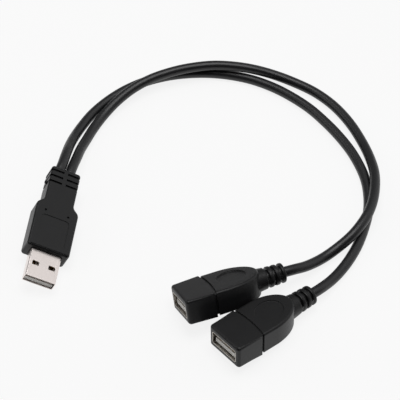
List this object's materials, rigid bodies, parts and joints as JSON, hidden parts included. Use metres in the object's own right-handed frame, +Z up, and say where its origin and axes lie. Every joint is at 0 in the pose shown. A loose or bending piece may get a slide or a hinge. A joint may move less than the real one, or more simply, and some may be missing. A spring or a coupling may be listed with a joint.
{
  "type": "usb splitter cable",
  "caption": "Black splitter cable lying in loose curves: a flat plug with a metal shell lets out free cords, each ending in a block socket with a ringed strain relief.",
  "frame": {"origin": "on the table the cable lies on, below the middle of the box round its three connectors, cords left out", "axes": "+Z up from the table; +X from the plug's side towards the sockets' side, along the connectors' longest extent; +Y from the plug's tip towards its neck, away from the viewer"},
  "size_m": [0.1368, 0.1505, 0.016],
  "materials": {
    "housing_pvc": "satin moulded PVC",
    "cord_pvc": "satin extruded PVC",
    "nickel_steel": "bright nickel plate",
    "white_resin": "satin",
    "natural_resin": "matt",
    "gold_plate": "thin gold plate",
    "black_wire": "satin",
    "green_wire": "satin",
    "white_wire": "satin",
    "red_wire": "satin"
  },
  "bodies": {
    "root": {"plug_housing": "housing_pvc", "plug_shell": "nickel_steel", "plug_insulator": "white_resin", "plug_inner_mould": "natural_resin", "plug_ground_contact": "gold_plate", "plug_data_plus_contact": "gold_plate", "plug_data_minus_contact": "gold_plate", "plug_power_contact": "gold_plate", "plug_black_wire_front": "black_wire", "plug_black_wire_back": "black_wire", "plug_green_wire_front": "green_wire", "plug_green_wire_back": "green_wire", "plug_white_wire_front": "white_wire", "plug_white_wire_back": "white_wire", "plug_red_wire_front": "red_wire", "plug_red_wire_back": "red_wire", "front_socket_housing": "housing_pvc", "front_socket_shell": "nickel_steel", "front_socket_insulator": "white_resin", "front_socket_inner_mould": "natural_resin", "front_socket_ground_contact": "gold_plate", "front_socket_data_plus_contact": "gold_plate", "front_socket_data_minus_contact": "gold_plate", "front_socket_power_contact": "gold_plate", "front_socket_black_wire": "black_wire", "front_socket_green_wire": "green_wire", "front_socket_white_wire": "white_wire", "front_socket_red_wire": "red_wire", "back_socket_housing": "housing_pvc", "back_socket_shell": "nickel_steel", "back_socket_insulator": "white_resin", "back_socket_inner_mould": "natural_resin", "back_socket_ground_contact": "gold_plate", "back_socket_data_plus_contact": "gold_plate", "back_socket_data_minus_contact": "gold_plate", "back_socket_power_contact": "gold_plate", "back_socket_black_wire": "black_wire", "back_socket_green_wire": "green_wire", "back_socket_white_wire": "white_wire", "back_socket_red_wire": "red_wire", "front_cord": "cord_pvc", "back_cord": "cord_pvc"}
  },
  "joints": []
}
